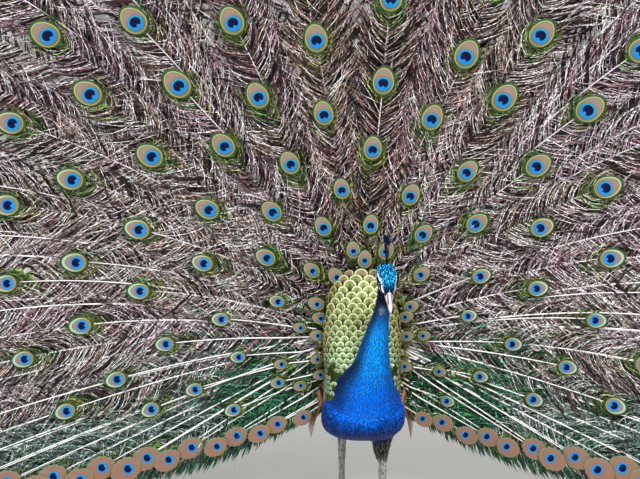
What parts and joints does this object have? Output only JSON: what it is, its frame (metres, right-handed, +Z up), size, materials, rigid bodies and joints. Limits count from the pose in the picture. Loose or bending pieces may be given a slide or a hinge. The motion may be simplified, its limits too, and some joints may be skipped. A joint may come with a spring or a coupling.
{
  "type": "displaying peacock figure",
  "caption": "Life-size standing male Indian peafowl with its eyed train raised in a full fan, crest up, one foot set forward.",
  "frame": {"origin": "on the floor, under the middle of the bird's bounding box", "axes": "+Z up, the bird faces -Y, +X is the bird's own left and runs along the width of the raised fan"},
  "size_m": [2.3336, 0.4686, 1.5816],
  "materials": {
    "eye": "dark brown wet eyeball",
    "horn": "pale grey horn bill",
    "head_skin": "short scaly turquoise feathers over skin, white bare face",
    "breast_blue": "deep glossy blue body feathers over flesh",
    "neck_blue": "bright glossy blue neck feathers over flesh",
    "crest_blue": "blue-black spatulate crest feathers",
    "gold_green": "golden green scale feathers with dark rims",
    "root_green": "bronze green covert feathers at the root of the train",
    "vent_down": "loose buff and brown down under the tail",
    "wing_barred": "buff wing coverts barred with black",
    "wing_rust": "rust brown flight feathers",
    "leg_skin": "pale grey scaly leg skin",
    "claw_horn": "dark horn claws",
    "thigh_black": "short black thigh feathers",
    "tail_brown": "plain grey brown tail feathers",
    "train_green": "loose blue green train barbs",
    "train_bronze": "loose bronze and grey train barbs with eye spots"
  },
  "bodies": {
    "root": {"eye_left": "eye", "eye_right": "eye", "bill_upper": "horn", "bill_lower": "horn", "head": "head_skin", "trunk": "breast_blue", "neck": "neck_blue", "crest": "crest_blue", "mantle": "gold_green", "rump": "root_green", "vent_down": "vent_down", "wing_left": "wing_barred", "primaries_left": "wing_rust", "wing_right": "wing_barred", "primaries_right": "wing_rust", "foot_left": "leg_skin", "claw_left_middle": "claw_horn", "claw_left_inner": "claw_horn", "claw_left_outer": "claw_horn", "claw_left_hind": "claw_horn", "shank_left": "leg_skin", "thigh_left": "thigh_black", "foot_right": "leg_skin", "claw_right_middle": "claw_horn", "claw_right_inner": "claw_horn", "claw_right_outer": "claw_horn", "claw_right_hind": "claw_horn", "shank_right": "leg_skin", "thigh_right": "thigh_black", "train_01": "train_green", "train_02": "train_green", "train_03": "train_bronze", "train_04": "train_bronze", "train_05": "train_bronze", "train_06": "train_bronze", "train_07": "train_bronze", "train_08": "train_bronze", "train_09": "train_bronze", "train_10": "train_bronze", "train_11": "train_bronze", "train_12": "train_bronze", "train_13": "train_bronze", "train_14": "train_bronze", "train_15": "train_bronze", "train_16": "train_bronze", "train_17": "train_green", "train_18": "train_green", "tail": "tail_brown"}
  },
  "joints": []
}
